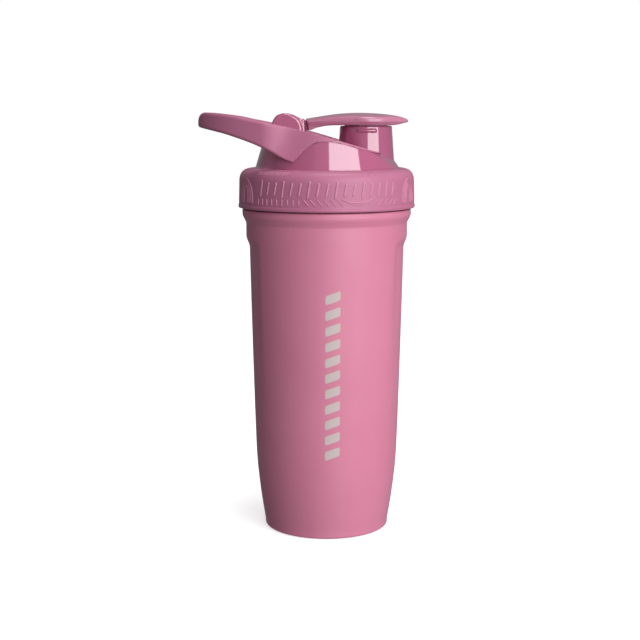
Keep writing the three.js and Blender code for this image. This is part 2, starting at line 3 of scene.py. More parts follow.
import bpy
import numpy as np
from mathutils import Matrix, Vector


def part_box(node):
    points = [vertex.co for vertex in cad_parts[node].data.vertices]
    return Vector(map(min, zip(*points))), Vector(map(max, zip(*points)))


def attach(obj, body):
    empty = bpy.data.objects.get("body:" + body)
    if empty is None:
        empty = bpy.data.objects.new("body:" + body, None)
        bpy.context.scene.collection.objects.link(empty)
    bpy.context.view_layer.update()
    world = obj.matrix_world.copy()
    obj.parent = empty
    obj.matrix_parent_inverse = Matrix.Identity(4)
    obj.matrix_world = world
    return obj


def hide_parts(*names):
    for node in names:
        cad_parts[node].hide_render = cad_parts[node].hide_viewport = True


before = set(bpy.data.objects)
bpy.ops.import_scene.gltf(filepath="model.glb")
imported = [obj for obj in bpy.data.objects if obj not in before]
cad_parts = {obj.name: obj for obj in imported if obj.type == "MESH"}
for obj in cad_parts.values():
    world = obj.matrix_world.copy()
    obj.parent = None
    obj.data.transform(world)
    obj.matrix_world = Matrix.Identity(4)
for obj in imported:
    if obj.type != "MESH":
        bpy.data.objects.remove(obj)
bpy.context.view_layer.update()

# Lengths below are in millimetres, as in the CAD part; meshes are scaled to metres when they are made.
MM = 0.001

# ---------------------------------------------------------------- where things are, from the frame


def span(node):
    """Lowest and highest corner of a CAD node, in millimetres."""
    low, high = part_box(node)
    return np.array(low) / MM, np.array(high) / MM


cup_high = span("bottle_body")[1]
collar_low, collar_high = span("lid_collar")
dome_low, dome_high = span("lid_dome")
spout_high = span("drink_spout")[1]
ear_low, ear_high = span("hinge_ear_back")
pin_low, pin_high = span("hinge_pin")
loop_low, loop_high = span("carry_loop")
cap_low, cap_high = span("flip_cap")
seal_low, seal_high = span("cap_seal")
gasket_low, gasket_high = span("lid_gasket")
strainer_low, strainer_high = span("strainer")

CROWN = collar_high[2]
COLLAR_BOTTOM = collar_low[2]
COLLAR_RADIUS = collar_high[0]
COLLAR_BORE = COLLAR_RADIUS - 2.6
DOME_RADIUS = COLLAR_RADIUS - 8.7
SPOUT_X = (seal_low[0] + seal_high[0]) / 2
SPOUT_RIM = spout_high[2]
HINGE_X = (pin_low[0] + pin_high[0]) / 2
HINGE_Z = (pin_low[2] + pin_high[2]) / 2
LOOP_TIP = loop_low[0]
LOOP_TOP = loop_high[2]
CUP_RIM = cup_high[2]
BEAD_RADIUS = cup_high[0]

# ---------------------------------------------------------------- sizes, mostly as in the CAD part

CUP_WALL = 0.8
BASE_RADIUS = 35.6
BASE_FILLET = 2.6
FOOT_HEIGHT = 44.8
FOOT_KNEE = FOOT_HEIGHT * 0.62  # where the foot's curve bends
CUP_FLOOR = 1.3  # the inside of its floor
CUP_AROUND = 288
AXIS = 0.01  # radius at which a turned solid's profile starts, beside its axis
SIDE_BOTTOM = 40.65
SIDE_TOP = 45.75
BEAD_TOP = COLLAR_BOTTOM - 0.7
BEAD_BOTTOM = BEAD_TOP - 3.4
SIDE_TOP_HEIGHT = BEAD_BOTTOM - 11.4
NECK_RADIUS = SIDE_TOP - 0.5
GRIP_DEPTH = 1.75
GRIP_DEPTH_POWER = 1.35  # how slowly the depth starts from the foot up
GRIP_TOP = SIDE_TOP_HEIGHT - 0.6
GRIP_FADE = FOOT_HEIGHT + 4
GRIP_FOOT = 48.0
GRIP_TOP_ROUND = 6.5
GRIP_HALF = math.radians(36)
GRIP_EDGE = math.radians(11)
THREAD_PITCH = 6.0
THREAD_TURNS = 1.2
THREAD_HEIGHT = 1.6
THREAD_LEAD = 0.1  # turns over which each end of the ridge fades
THREAD_HALF_BASE = 1.25
THREAD_HALF_CREST = 0.55
COLLAR_THREAD = COLLAR_BOTTOM + 1.7
NECK_THREAD = COLLAR_THREAD + THREAD_PITCH / 2

DOME_LEAN = 0.3
DOME_SET_BACK = 1.0  # how much nearer its wall is to the axis on the loop's side
DOME_WALL = 2.0
RIM_WIDTH = 2.6
RIM_MID = SPOUT_RIM - 6.3
RIM_SLOPE = math.tan(math.radians(16.3))
RIM_SAG = 0.075  # how much less it rises behind the ears
DECK_SLOPE = math.tan(math.radians(13))
DECK_DROP = 5.5
SPOUT_RADIUS = 14.6
SPOUT_WALL = 2.0
SPOUT_LEAN = 0.07
EAR_RADIUS = 9.55
EAR_CENTRE = (-2.2, -0.9)  # from the hinge axis
CAP_UNDER = SPOUT_RIM + 0.3
CAP_RADIUS = SPOUT_RADIUS + 3.7
KNUCKLE_HALF = 5.3
LOOP_WIDTH = 5.5
LOOP_HALF = DOME_RADIUS - 2.8

# ---------------------------------------------------------------- meshes


def add_mesh(name, points, faces, body, nodes=(), materials=(), normals=None, zones=None):
    """A mesh piece from points in millimetres, on a CAD body."""
    mesh = bpy.data.meshes.new(name)
    mesh.from_pydata((np.asarray(points, float) * MM).tolist(), [], [list(map(int, f)) for f in faces])
    mesh.shade_smooth()
    for material in materials:
        mesh.materials.append(material)
    if zones is not None:
        mesh.polygons.foreach_set("material_index", np.asarray(zones, np.int32))
    if normals is not None:
        mesh.normals_split_custom_set_from_vertices(np.asarray(normals, float).tolist())
    piece = bpy.data.objects.new(name, mesh)
    bpy.context.scene.collection.objects.link(piece)
    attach(piece, body)
    if nodes:
        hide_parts(*nodes)
    return piece


def rounded(corners, steps=6):
    """A profile of (r, z) points from corners (r, z, radius), each corner rounded by an arc."""
    out = []
    last = len(corners) - 1
    for i, (r, z, radius) in enumerate(corners):
        here = np.array([r, z], float)
        if radius <= 0 or i in (0, last):
            out.append(here)
            continue
        back = np.array(corners[i - 1][:2], float) - here
        on = np.array(corners[i + 1][:2], float) - here
        back_length, on_length = np.hypot(*back), np.hypot(*on)
        back, on = back / back_length, on / on_length
        half = math.acos(float(np.clip(back @ on, -1, 1))) / 2
        if half > math.radians(89):
            out.append(here)
            continue
        reach = min(radius / math.tan(half), back_length * 0.49, on_length * 0.49)
        radius = reach * math.tan(half)
        middle = here + (back + on) / np.hypot(*(back + on)) * radius / math.sin(half)
        start, end = here + back * reach - middle, here + on * reach - middle
        turn = math.atan2(start[0] * end[1] - start[1] * end[0], start @ end)
        for k in range(steps + 1):
            a = turn * k / steps
            c, s = math.cos(a), math.sin(a)
            out.append(middle + [start[0] * c - start[1] * s, start[0] * s + start[1] * c])
    return out


def subdivided(profile, longest):
    """The profile with no piece longer than the given length."""
    out = [np.array(profile[0], float)]
    for point in profile[1:]:
        point = np.array(point, float)
        start = out[-1]
        count = max(1, math.ceil(np.hypot(*(point - start)) / longest))
        for k in range(1, count + 1):
            out.append(start + (point - start) * k / count)
    return out


def grid_faces(rows, columns, closed_rows=False):
    """Quads over a grid whose columns run round; closed_rows joins the last row to the first."""
    i, j = np.meshgrid(np.arange(rows if closed_rows else rows - 1), np.arange(columns), indexing="ij")
    i, j = i.ravel(), j.ravel()
    up, on = (i + 1) % rows, (j + 1) % columns
    return np.stack([i * columns + j, i * columns + on, up * columns + on, up * columns + j], 1)


def turned(profile, around, push=None, centre=(0.0, 0.0), ring=False):
    """Points and faces of a profile turned round Z. push(angle, r, z) gives the new radius.

    The profile runs so that the solid is on its left: outward at the bottom, then up, then inward.
    A solid's ends are on the axis and are closed by a fan; a ring's profile is closed on itself.
    """
    profile = np.array(profile, float)
    rows = len(profile)
    angle = np.linspace(0, 2 * math.pi, around, endpoint=False)[None, :]
    r = np.repeat(profile[:, :1], around, 1)
    z = np.repeat(profile[:, 1:], around, 1)
    if push is not None:
        r = push(np.repeat(angle, rows, 0), r, z)
    x, y = centre[0] + r * np.cos(angle), centre[1] + r * np.sin(angle)
    points = np.stack([x, y, z], 2).reshape(-1, 3)
    faces = grid_faces(rows, around, closed_rows=ring).tolist()
    if not ring:
        low, high = len(points), len(points) + 1
        ends = [[*centre, profile[0, 1]], [*centre, profile[-1, 1]]]
        points = np.vstack([points, ends])
        top = (rows - 1) * around
        for j in range(around):
            on = (j + 1) % around
            faces.append([low, on, j])
            faces.append([high, top + j, top + on])
    return points, faces


# ---------------------------------------------------------------- solids from distance fields


def round_cut(a, b, radius):
    """Where both fields are inside, with the edge rounded."""
    if np.ndim(radius) == 0 and radius <= 0:
        return np.maximum(a, b)
    inner = np.minimum(np.maximum(a, b), -radius)
    return inner + np.hypot(np.maximum(a + radius, 0), np.maximum(b + radius, 0))


def round_join(a, b, radius):
    """Where either field is inside, with the corner filled by a fillet."""
    return -round_cut(-a, -b, radius)


def ease(start, end, value):
    """The smooth step from 0 at start to 1 at end."""
    t = np.clip((value - start) / (end - start), 0, 1)
    return t * t * (3 - 2 * t)


def curve_through(points, steps=8):
    """Points along a smooth curve through the given points."""
    points = np.array(points, float)
    ends = [2 * points[0] - points[1], 2 * points[-1] - points[-2]]
    p = np.vstack([ends[:1], points, ends[1:]])
    out = []
    for i in range(1, len(p) - 2):
        for t in np.linspace(0, 1, steps, endpoint=False):
            out.append(0.5 * (2 * p[i] + (p[i + 1] - p[i - 1]) * t
                              + (2 * p[i - 1] - 5 * p[i] + 4 * p[i + 1] - p[i + 2]) * t ** 2
                              + (3 * p[i] - p[i - 1] - 3 * p[i + 1] + p[i + 2]) * t ** 3))
    out.append(p[-2])
    return np.array(out)


def outline_distance(x, z, outline):
    """Signed distance to a closed outline in the XZ plane, negative inside."""
    shape = np.broadcast_shapes(np.shape(x), np.shape(z))
    nearest = np.full(shape, 1e9)
    inside = np.zeros(shape, bool)
    for (ax, az), (bx, bz) in zip(outline, np.roll(outline, -1, 0)):
        ex, ez = bx - ax, bz - az
        t = np.clip(((x - ax) * ex + (z - az) * ez) / (ex * ex + ez * ez + 1e-12), 0, 1)
        nearest = np.minimum(nearest, (x - ax - t * ex) ** 2 + (z - az - t * ez) ** 2)
        if az != bz:
            crosses = ((az > z) != (bz > z)) & (x < ax + (z - az) / (bz - az) * ex)
            inside ^= crosses
    return np.where(inside, -1, 1) * np.sqrt(nearest)


def gradient(field, p, h):
    """The field's gradient at points."""
    out = np.empty_like(p)
    for axis in range(3):
        step = np.zeros(3)
        step[axis] = h
        ahead, behind = p + step, p - step
        out[:, axis] = (field(*ahead.T) - field(*behind.T)) / (2 * h)
    return out


def solid(field, low, high, step):
    """Points, faces and normals of the surface where a distance field is zero."""
    low = np.array(low, float)
    count = np.ceil((np.array(high, float) - low) / step).astype(int) + 1
    x, y, z = (low[i] + step * np.arange(count[i]) for i in range(3))
    values = field(x[:, None, None], y[None, :, None], z[None, None, :])
    values = np.array(np.broadcast_to(values, count))
    values[values == 0] = 1e-9
    cells, crossings, quads = [], [], []
    for axis in range(3):
        near = tuple(slice(None, -1) if i == axis else slice(None) for i in range(3))
        far = tuple(slice(1, None) if i == axis else slice(None) for i in range(3))
        a, b = values[near], values[far]
        crossing = (a < 0) != (b < 0)
        at = np.argwhere(crossing)
        va, vb = a[crossing], b[crossing]
        point = at.astype(float)
        point[:, axis] += va / (va - vb)
        u, v = (axis + 1) % 3, (axis + 2) % 3
        corners = []
        for du, dv in ((1, 1), (0, 1), (0, 0), (1, 0)):
            cell = at.copy()
            cell[:, u] -= du
            cell[:, v] -= dv
            corners.append(np.ravel_multi_index(cell.T, count - 1))
            crossings.append(point)
        cells.extend(corners)
        quad = np.stack(corners, 1)
        quads.append(np.where((va < 0)[:, None], quad, quad[:, ::-1]))
    used, index = np.unique(np.concatenate(cells), return_inverse=True)
    every = np.concatenate(crossings)
    share = np.bincount(index)
    points = np.stack([np.bincount(index, every[:, i]) / share for i in range(3)], 1) * step + low
    faces = np.searchsorted(used, np.concatenate(quads))
    for _ in range(3):
        slope = gradient(field, points, 0.02)
        move = (field(*points.T) / np.maximum((slope ** 2).sum(1), 0.05))[:, None] * slope
        length = np.maximum(np.linalg.norm(move, axis=1), 1e-9)[:, None]
        points = points - move * np.minimum(1, 0.5 * step / length)
    normals = gradient(field, points, 0.12)
    normals /= np.maximum(np.linalg.norm(normals, axis=1), 1e-9)[:, None]
    return points, faces, normals


# ---------------------------------------------------------------- materials


class Nodes:
    """A material's nodes, with short names for the links made here."""

    def __init__(self, name, **values):
        self.material = bpy.data.materials.new(name)
        self.material.use_nodes = True
        self.tree = self.material.node_tree
        self.shader = self.tree.nodes["Principled BSDF"]
        for key, value in values.items():
            self.shader.inputs[key.replace("_", " ")].default_value = value
        self.place = self.add("ShaderNodeTexCoord").outputs["Object"]

    def add(self, kind, **settings):
        node = self.tree.nodes.new(kind)
        for key, value in settings.items():
            setattr(node, key, value)
        return node

    def link(self, source, target):
        self.tree.links.new(source, target)

    def noise(self, scale, detail=2.0, rough=0.5, stretch=None):
        """Noise over the object; scale is in cells per metre, stretch scales each axis."""
        node = self.add("ShaderNodeTexNoise")
        node.inputs["Scale"].default_value = scale
        node.inputs["Detail"].default_value = detail
        node.inputs["Roughness"].default_value = rough
        place = self.place
        if stretch:
            mapping = self.add("ShaderNodeMapping")
            mapping.inputs["Scale"].default_value = stretch
            self.link(place, mapping.inputs["Vector"])
            place = mapping.outputs["Vector"]
        self.link(place, node.inputs["Vector"])
        return node.outputs["Fac"]

    def ranged(self, value, low, high, source=(0.25, 0.75)):
        """The value carried from its source range to low..high."""
        node = self.add("ShaderNodeMapRange")
        node.inputs["From Min"].default_value, node.inputs["From Max"].default_value = source
        node.inputs["To Min"].default_value, node.inputs["To Max"].default_value = low, high
        self.link(value, node.inputs["Value"])
        return node.outputs["Result"]

    def mixed(self, factor, a, b):
        """A colour between a and b; each is a socket or a plain colour."""
        node = self.add("ShaderNodeMix", data_type="RGBA")
        self.link(factor, node.inputs[0])
        for value, socket in ((a, node.inputs[6]), (b, node.inputs[7])):
            if isinstance(value, bpy.types.NodeSocket):
                self.link(value, socket)
            else:
                socket.default_value = (*value, 1)
        return node.outputs[2]

    def added(self, a, b):
        node = self.add("ShaderNodeMath", operation="ADD")
        self.link(a, node.inputs[0])
        self.link(b, node.inputs[1])
        return node.outputs[0]

    def bump(self, *layers):
        """Bumps in turn, each (height socket, height in metres)."""
        normal = None
        for height, distance in layers:
            node = self.add("ShaderNodeBump")
            node.inputs["Strength"].default_value = 1.0
            node.inputs["Distance"].default_value = distance
            self.link(height, node.inputs["Height"])
            if normal is not None:
                self.link(normal, node.inputs["Normal"])
            normal = node.outputs["Normal"]
        self.link(normal, self.shader.inputs["Normal"])

    def edges(self, low=0.505, high=0.56):
        """1 on convex edges, 0 elsewhere."""
        geometry = self.add("ShaderNodeNewGeometry")
        return self.ranged(geometry.outputs["Pointiness"], 0.0, 1.0, (low, high))


WORN = 0.22  # how much paler a worn edge is


def lightened(colour, share):
    return tuple(c + (1 - c) * share for c in colour)


def coated(name, colour, roughness, grain, grain_height, tint=0.06, wear=0.25, **values):
    """A moulded or coated surface: grain in the bump, patchy roughness, a paler worn edge."""
    n = Nodes(name, **values)
    darker = tuple(c * (1 - tint) for c in colour)
    paler = lightened(colour, tint * 0.5)
    patches = n.ranged(n.noise(28, 3), 0, 1)
    base = n.mixed(patches, darker, paler)
    worn = lightened(colour, WORN)
    scuffs = n.ranged(n.noise(420, 4, 0.65), 0, wear, (0.42, 0.7))
    edge = n.add("ShaderNodeMath", operation="MULTIPLY")
    n.link(n.edges(), edge.inputs[0])
    n.link(scuffs, edge.inputs[1])
    n.link(n.mixed(edge.outputs[0], base, worn), n.shader.inputs["Base Color"])
    spread = roughness * 0.14
    rough = n.added(n.ranged(n.noise(45, 3), roughness - spread, roughness + spread),
                    n.ranged(n.noise(grain * 0.7, 1), -spread * 0.6, spread * 0.6))
    n.link(rough, n.shader.inputs["Roughness"])
    n.bump((n.noise(grain * 0.22, 2), grain_height * 1.6), (n.noise(grain, 2, 0.6), grain_height))
    return n.material


BODY_COLOUR = (0.70, 0.222, 0.352)
MATT_COLOUR = (0.51, 0.155, 0.278)
RELIEF_COLOUR = (0.6, 0.205, 0.345)  # the raised strokes on the collar, rubbed a little paler
SATIN_COLOUR = (0.56, 0.195, 0.315)
GLOSS_COLOUR = (0.46, 0.1, 0.22)

powder_coat = coated("powder_coat", BODY_COLOUR, 0.43, 2600, 0.000016, tint=0.035, wear=0.2)
matt_plastic = coated("matt_plastic", MATT_COLOUR, 0.43, 3800, 0.00002, tint=0.04, wear=0.3)
relief_plastic = coated("relief_plastic", RELIEF_COLOUR, 0.4, 3800, 0.000012, tint=0.03, wear=0.3)
satin_plastic = coated("satin_plastic", SATIN_COLOUR, 0.29, 3200, 0.000008, tint=0.03, wear=0.25,
                       Coat_Weight=0.6, Coat_Roughness=0.22)
gloss_plastic = coated("gloss_plastic", GLOSS_COLOUR, 0.075, 900, 0.000001, tint=0.03, wear=0.12,
                       Specular_IOR_Level=1.0, Coat_Weight=1.0, Coat_Roughness=0.03)
strainer_plastic = coated("strainer_plastic", GLOSS_COLOUR, 0.3, 2400, 0.000006, tint=0.05, wear=0.3)
silicone = coated("silicone", (0.62, 0.61, 0.59), 0.62, 3000, 0.000008, tint=0.06, wear=0.1)
print_ink = coated("print_ink", (0.6, 0.5, 0.5), 0.5, 2600, 0.000010, tint=0.03, wear=0.1)


def brushed_steel(name, stretch):
    """Steel with fine lines where the stretch is small."""
    n = Nodes(name, Metallic=1.0)
    lines = n.noise(900, 3, 0.6, stretch)
    base = n.mixed(n.ranged(lines, 0, 1), (0.50, 0.50, 0.51), (0.66, 0.66, 0.67))
    n.link(base, n.shader.inputs["Base Color"])
    n.link(n.ranged(lines, 0.22, 0.42), n.shader.inputs["Roughness"])
    n.bump((lines, 0.000004), (n.noise(60, 2), 0.00001))
    return n.material


cup_steel = brushed_steel("cup_steel", (0.05, 0.05, 4.0))
pin_steel = brushed_steel("pin_steel", (3.0, 0.05, 3.0))

# ---------------------------------------------------------------- cup


def side_radius(z):
    return SIDE_BOTTOM + (SIDE_TOP - SIDE_BOTTOM) * (z - FOOT_HEIGHT) / (SIDE_TOP_HEIGHT - FOOT_HEIGHT)


def grip_press(angle, z):
    """How far the grip is pressed in, at an angle from +X and a height."""
    wrapped = np.abs(np.mod(angle + math.pi, 2 * math.pi) - math.pi)
    from_side = np.minimum(wrapped, math.pi - wrapped)
    below = np.maximum(0, GRIP_FADE + GRIP_FOOT - z) / GRIP_FOOT
    half = GRIP_HALF * np.sqrt(np.maximum(0, 1 - below ** 2))
    depth = GRIP_DEPTH * (np.clip(z - GRIP_FADE, 0, None) / (GRIP_TOP - GRIP_FADE)) ** GRIP_DEPTH_POWER
    return depth * ease(0, GRIP_EDGE, half - from_side) * ease(0, GRIP_TOP_ROUND, GRIP_TOP - z)


def thread_rise(angle, z, start, height):
    """How far the helical ridge stands out at an angle and a height."""
    out = np.zeros_like(z)
    for turn in range(2):
        along = np.mod(angle, 2 * math.pi) / (2 * math.pi) + turn
        fade = ease(0, THREAD_LEAD, along) * ease(0, THREAD_LEAD, THREAD_TURNS - along)
        off = np.abs(z - start - along * THREAD_PITCH)
        out = np.maximum(out, height * fade * ease(THREAD_HALF_BASE, THREAD_HALF_CREST, off))
    return out


def cup():
    """The steel cup: one closed sheet, coated outside up to the rim and bare inside."""
    lean = (SIDE_TOP - SIDE_BOTTOM) / (SIDE_TOP_HEIGHT - FOOT_HEIGHT)
    foot = [np.array(p) for p in ((BASE_RADIUS, BASE_FILLET),
                                  (SIDE_BOTTOM - lean * (FOOT_HEIGHT - FOOT_KNEE), FOOT_KNEE),
                                  (SIDE_BOTTOM, FOOT_HEIGHT))]
    curve = [(1 - t) ** 2 * foot[0] + 2 * t * (1 - t) * foot[1] + t * t * foot[2]
             for t in np.linspace(0, 1, 16)]
    base = rounded([(26.5, 0.5, 0), (28.2, 0.5, 0.5), (29.2, 0, 0.5), (BASE_RADIUS, 0, BASE_FILLET),
                    (BASE_RADIUS, BASE_FILLET * 1.02, 0)], 8)
    side = subdivided([curve[-1], (side_radius(GRIP_TOP - 10), GRIP_TOP - 10)], 2.5)
    side += subdivided([side[-1], (SIDE_TOP, SIDE_TOP_HEIGHT)], 0.7)[1:]
    top = rounded([(SIDE_TOP, SIDE_TOP_HEIGHT + 0.5, 0), (SIDE_TOP, BEAD_BOTTOM - 4.4, 3.6),
                   (BEAD_RADIUS - 0.35, BEAD_BOTTOM - 0.9, 2.2), (BEAD_RADIUS, BEAD_BOTTOM + 0.3, 1.2),
                   (BEAD_RADIUS, BEAD_TOP, 0.9), (NECK_RADIUS, BEAD_TOP + 0.15, 0.4),
                   (NECK_RADIUS, BEAD_TOP + 1.2, 0)], 6)
    neck = subdivided([top[-1], (NECK_RADIUS, CUP_RIM - 0.6)], 0.35)[1:]
    outside = subdivided([(AXIS, 0.5), base[0]], 8) + base[1:] + curve[1:] + side[1:] + top + neck
    inside = [(r - CUP_WALL, z) for r, z in [*reversed(side), *reversed(curve[1:-1])]]
    mouth = NECK_RADIUS - CUP_WALL
    lip = rounded([(NECK_RADIUS, CUP_RIM - 0.6, 0), (NECK_RADIUS, CUP_RIM, 0.38),
                   (mouth, CUP_RIM, 0.38), (mouth, CUP_RIM - 0.9, 0)], 5)
    well = rounded([(mouth, CUP_RIM - 1.2, 0), (mouth, BEAD_BOTTOM, 2),
                    (SIDE_TOP - CUP_WALL, SIDE_TOP_HEIGHT + 1, 0)], 5)
    bottom = rounded([(inside[-1][0], inside[-1][1], 0), (BASE_RADIUS - CUP_WALL, CUP_FLOOR, 5.0),
                      (AXIS, CUP_FLOOR, 0)], 8)
    profile = outside + lip[1:-1] + well + inside + bottom[1:]
    outer_rows = len(outside) + 6  # the coat ends on the lip

    def push(angle, r, z):
        pressed = grip_press(angle, z)
        ridge = thread_rise(angle, z, NECK_THREAD, THREAD_HEIGHT)
        neck_rows = (np.arange(len(r)) < outer_rows)[:, None] & (z > BEAD_TOP + 0.6)
        wall = (z > GRIP_FADE) & (z < GRIP_TOP)
        return r - np.where(wall, pressed, 0) + np.where(neck_rows, ridge, 0)

    points, faces = turned(profile, CUP_AROUND, push)
    zones = [0 if (f[0] // CUP_AROUND) < outer_rows else 1 for f in faces[:-2 * CUP_AROUND]]
    zones += [0, 1] * CUP_AROUND
    add_mesh("cup", points, faces, "cup", ["bottle_body"], [powder_coat, cup_steel],
             zones=zones)


def surface_point(angle, z, out):
    """A point on the cup's side, moved outward."""
    r = side_radius(z) - grip_press(np.asarray(angle), np.asarray(z)) + out
    return np.stack([r * np.cos(angle), r * np.sin(angle), z + 0 * angle], -1)


PRINT_LOW, PRINT_HIGH, PRINT_COUNT = 46.3, 142.6, 11
PRINT_ANGLE = -math.pi / 2 + math.radians(4.25)
PRINT_HALF_WIDTH = 4.1
PRINT_SLANT = 0.35
PRINT_CORNER = 0.8
PRINT_COLUMNS = 12
PRINT_UNDER, PRINT_OUT = -0.03, 0.05  # its two faces, off the cup's side


def printed_marks():
    """A column of plain slanted bars printed up the front of the cup."""
    points, faces = [], []
    pitch = (PRINT_HIGH - PRINT_LOW) / PRINT_COUNT
    half_height = pitch * 0.29
    across = np.linspace(-1, 1, PRINT_COLUMNS + 1)
    across = np.sign(across) * (1 - (1 - np.abs(across)) ** 1.35)  # closer together at the corners
    n = len(across)
    for k in range(PRINT_COUNT):
        middle = PRINT_LOW + pitch * (k + 0.5)
        base = len(points)
        for out in (PRINT_UNDER, PRINT_OUT):
            for u in across:
                x = u * PRINT_HALF_WIDTH
                inset = max(0, abs(x) - (PRINT_HALF_WIDTH - PRINT_CORNER))
                trim = PRINT_CORNER - math.sqrt(max(0, PRINT_CORNER ** 2 - inset ** 2))
                for side in (-1, 1):
                    z = middle + side * (half_height - trim) + PRINT_SLANT * x
                    points.append(surface_point(PRINT_ANGLE + x / side_radius(z), z, out))
        top = 2 * n
        for i in range(n - 1):
            a, b, c, d = base + 2 * i, base + 2 * i + 2, base + 2 * i + 3, base + 2 * i + 1
            faces.append([a + top, b + top, c + top, d + top])
            faces.append([a, d, c, b])
            faces.append([a, b, b + top, a + top])
            faces.append([d, d + top, c + top, c])
        for i in (0, n - 1):
            a, d = base + 2 * i, base + 2 * i + 1
            faces.append([a, a + top, d + top, d] if i == 0 else [a, d, d + top, a + top])
    outward = np.array(points) * (1, 1, 0)
    add_mesh("printed_marks", points, faces, "cup", materials=[print_ink],
             normals=outward / np.linalg.norm(outward, axis=1)[:, None])


# ---------------------------------------------------------------- collar


def collar_outline():
    """The collar's outer profile from its bottom edge to the inner edge of its crown."""
    side = rounded([(COLLAR_RADIUS - 2.4, COLLAR_BOTTOM, 0), (COLLAR_RADIUS, COLLAR_BOTTOM, 0.7),
                    (COLLAR_RADIUS, COLLAR_BOTTOM + 1.7, 0.3),
                    (COLLAR_RADIUS - 0.3, COLLAR_BOTTOM + 2.1, 0.5),
                    (COLLAR_RADIUS - 0.6, CROWN - 7.2, 2)], 5)
    a, b, c = (np.array(p) for p in ((COLLAR_RADIUS - 0.6, CROWN - 7.0), (COLLAR_RADIUS - 0.75, CROWN),
                                     (DOME_RADIUS + 0.9, CROWN)))
    bend = [(1 - t) ** 2 * a + 2 * t * (1 - t) * b + t * t * c for t in np.linspace(0, 1, 18)]
    return [np.array(p) for p in side] + bend[1:]


OUTLINE = subdivided(collar_outline(), 1.2)


def collar_point(angle, s, out=0.0):
    """A point on the collar, s along its outline from above its lip and out off its surface."""
    path = np.array(OUTLINE)
    lengths = np.concatenate([[0], np.cumsum(np.hypot(*np.diff(path, axis=0).T))])
    start = np.interp(COLLAR_BOTTOM + 2.4, path[6:, 1], lengths[6:])
    at = start + s
    r, z = np.interp(at, lengths, path[:, 0]), np.interp(at, lengths, path[:, 1])
    r2, z2 = np.interp(at + 0.2, lengths, path[:, 0]), np.interp(at + 0.2, lengths, path[:, 1])
    length = math.hypot(r2 - r, z2 - z)
    r, z = r + (z2 - z) / length * out, z - (r2 - r) / length * out
    return np.array([r * math.cos(angle), r * math.sin(angle), z])


def collar():
    """The matt ring that screws onto the neck, with a rounded crown."""
    inner = rounded([(DOME_RADIUS + 0.9, CROWN, 0), (DOME_RADIUS + 0.35, CROWN, 0.4),
                     (DOME_RADIUS + 0.35, CROWN - 2.2, 0.3), (COLLAR_BORE, CROWN - 2.2, 0.8),
                     (COLLAR_BORE, CROWN - 4, 0)], 4)
    bore = subdivided([inner[-1], (COLLAR_BORE, COLLAR_BOTTOM + 0.6),
                       (COLLAR_RADIUS - 2.4, COLLAR_BOTTOM)], 0.4)[1:-1]
    profile = OUTLINE + inner[1:] + bore
    outer_rows = len(OUTLINE) + len(inner)

    def push(angle, r, z):
        inside = (np.arange(len(r)) >= outer_rows)[:, None]
        return r - np.where(inside, thread_rise(angle, z, COLLAR_THREAD, THREAD_HEIGHT), 0)

    points, faces = turned(profile, 256, push, ring=True)
    add_mesh("collar", points, faces, "lid", ["lid_collar"], [matt_plastic])


# A stroke's section, in shares of half its width and of its height, and how its ends close.
STROKE_SECTION = [(-1, -0.5), (-0.86, 0.45), (-0.45, 0.88), (0, 1),
                  (0.45, 0.88), (0.86, 0.45), (1, -0.5)]
STROKE_END, STROKE_END_SCALE = 0.5, 0.45


def stroke(path, width, height, points, faces):
    """A raised stroke on the collar along (angle in degrees, height) points, added to the lists."""
    path = curve_through(path, 5) if len(path) > 2 else subdivided(path, 1.0)
    path = np.array(path)
    count = len(STROKE_SECTION)
    metric = np.array([math.radians(1) * (COLLAR_RADIUS - 0.5), 1.0])
    flat = path * metric
    along = np.gradient(flat, axis=0)
    along /= np.linalg.norm(along, axis=1)[:, None]
    across = np.stack([-along[:, 1], along[:, 0]], 1)
    stations = [(0, -STROKE_END, STROKE_END_SCALE)]
    stations += [(i, 0.0, 1.0) for i in range(len(path))]
    stations += [(len(path) - 1, STROKE_END, STROKE_END_SCALE)]
    base = len(points)
    for i, ahead, scale in stations:
        for u, v in STROKE_SECTION:
            spot = (flat[i] + along[i] * ahead * width + across[i] * u * width / 2 * scale) / metric
            lift = v * height * (scale if v > 0 else 1)
            points.append(collar_point(math.radians(spot[0]), spot[1], lift))
    rows = len(stations)
    for i in range(rows - 1):
        for j in range(count):
            on = (j + 1) % count
            faces.append([base + i * count + j, base + (i + 1) * count + j,
                          base + (i + 1) * count + on, base + i * count + on])
    faces.append([base + j for j in range(count)])
    faces.append([base + (rows - 1) * count + j for j in reversed(range(count))])


THIN_WIDTH, THIN_HEIGHT = 0.7, 0.34
BAND_WIDTH, BAND_HEIGHT = 1.3, 0.3
TICK_WIDTH, TICK_HEIGHT = 0.6, 0.26
TICK_LOW, TICK_HIGH = 17.2, 19.4
BAND_MIDDLE = 9.6
ARC_MIDDLE = 19.5  # degrees from the middle of a face
FLANK_ARCS = 26  # degrees from the middle of a flank


